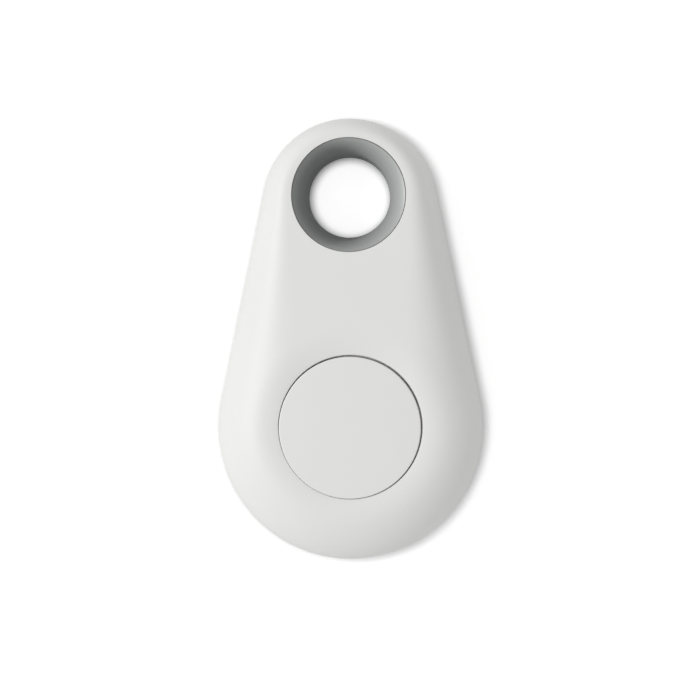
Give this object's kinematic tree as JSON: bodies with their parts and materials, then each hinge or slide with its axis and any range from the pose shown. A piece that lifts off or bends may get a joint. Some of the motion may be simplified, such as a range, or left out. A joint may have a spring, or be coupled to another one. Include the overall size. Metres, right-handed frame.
{
  "type": "bluetooth tracker tag",
  "caption": "Teardrop tracker tag with a flared eyelet for a key ring, one large round push button, a case in two halves and a coin cell inside.",
  "frame": {"origin": "centre of the bounding box of the tag's outline, on the flat rear face that it lies on", "axes": "+Z out of the front face along the button's axis, +Y from the button towards the key-ring eyelet, +X to the right"},
  "size_m": [0.03, 0.05, 0.011],
  "materials": {
    "white_plastic": "fine satin moulding",
    "grey_plastic": "satin",
    "natural_plastic": "matt, unpigmented",
    "black_plastic": "matt",
    "board_laminate": "green solder mask",
    "gold_plate": "gold flash on copper",
    "spring_steel": "tin-plated spring sheet",
    "can_steel": "nickel-plated, brushed",
    "screw_steel": "plain",
    "coil_copper": "enamelled copper wire",
    "ferrite": "matt",
    "ceramic_tan": "fired ceramic",
    "ceramic_black": "glazed",
    "cell_mix": "pressed powder",
    "cell_felt": "non-woven felt",
    "lithium": "soft metal foil"
  },
  "bodies": {
    "rear_half": {"rear_shell": "white_plastic", "rear_eyelet": "grey_plastic"},
    "front_half": {"front_shell": "white_plastic", "front_eyelet": "grey_plastic", "main_board": "board_laminate", "board_screw_1": "screw_steel", "board_screw_2": "screw_steel", "board_screw_3": "screw_steel", "cell_holder": "natural_plastic", "positive_contact": "spring_steel", "negative_contact": "spring_steel", "switch_housing": "black_plastic", "switch_cover": "spring_steel", "switch_dome": "spring_steel", "switch_terminal_1": "gold_plate", "switch_terminal_2": "gold_plate", "switch_terminal_3": "gold_plate", "switch_terminal_4": "gold_plate", "buzzer_base": "natural_plastic", "buzzer_housing": "black_plastic", "buzzer_core": "screw_steel", "buzzer_coil": "coil_copper", "buzzer_magnet": "ferrite", "buzzer_diaphragm": "spring_steel", "buzzer_terminal_1": "gold_plate", "buzzer_terminal_2": "gold_plate", "bluetooth_chip": "black_plastic", "crystal_base": "ceramic_tan", "crystal_lid": "can_steel", "antenna_trace": "gold_plate", "capacitor_1": "ceramic_tan", "capacitor_2": "ceramic_tan", "capacitor_3": "ceramic_tan", "capacitor_4": "ceramic_tan", "resistor_1": "ceramic_black", "resistor_2": "ceramic_black", "resistor_3": "ceramic_black", "inductor_1": "ferrite"},
    "button": {"button_cap": "white_plastic"},
    "plunger": {"switch_plunger": "black_plastic"},
    "cell": {"cell_can": "can_steel", "cell_gasket": "natural_plastic", "cell_cap": "can_steel", "cell_cathode": "cell_mix", "cell_separator": "cell_felt", "cell_anode": "lithium"}
  },
  "joints": [
    {"name": "case_open", "type": "slide", "parent": "rear_half", "child": "front_half", "axis": [0, 0, 1], "range_m": [0, 0.02]},
    {"name": "button_press", "type": "slide", "parent": "front_half", "child": "button", "axis": [0, 0, -1], "range_m": [0, 0.00025], "stiffness_N_per_m": 200, "springref_m": -0.0015, "deforming": ["switch_dome"]},
    {"name": "plunger_press", "type": "slide", "parent": "front_half", "child": "plunger", "axis": [0, 0, -1], "range_m": [0, 0.00025]},
    {"name": "cell_drop", "type": "slide", "parent": "front_half", "child": "cell", "axis": [0, 0, -1], "range_m": [0, 0.01]}
  ],
  "couplings": [
    {"joint": "plunger_press", "follows": "button_press", "ratio": 1},
    {"joint": "cell_drop", "follows": "case_open", "ratio": 0.5}
  ]
}
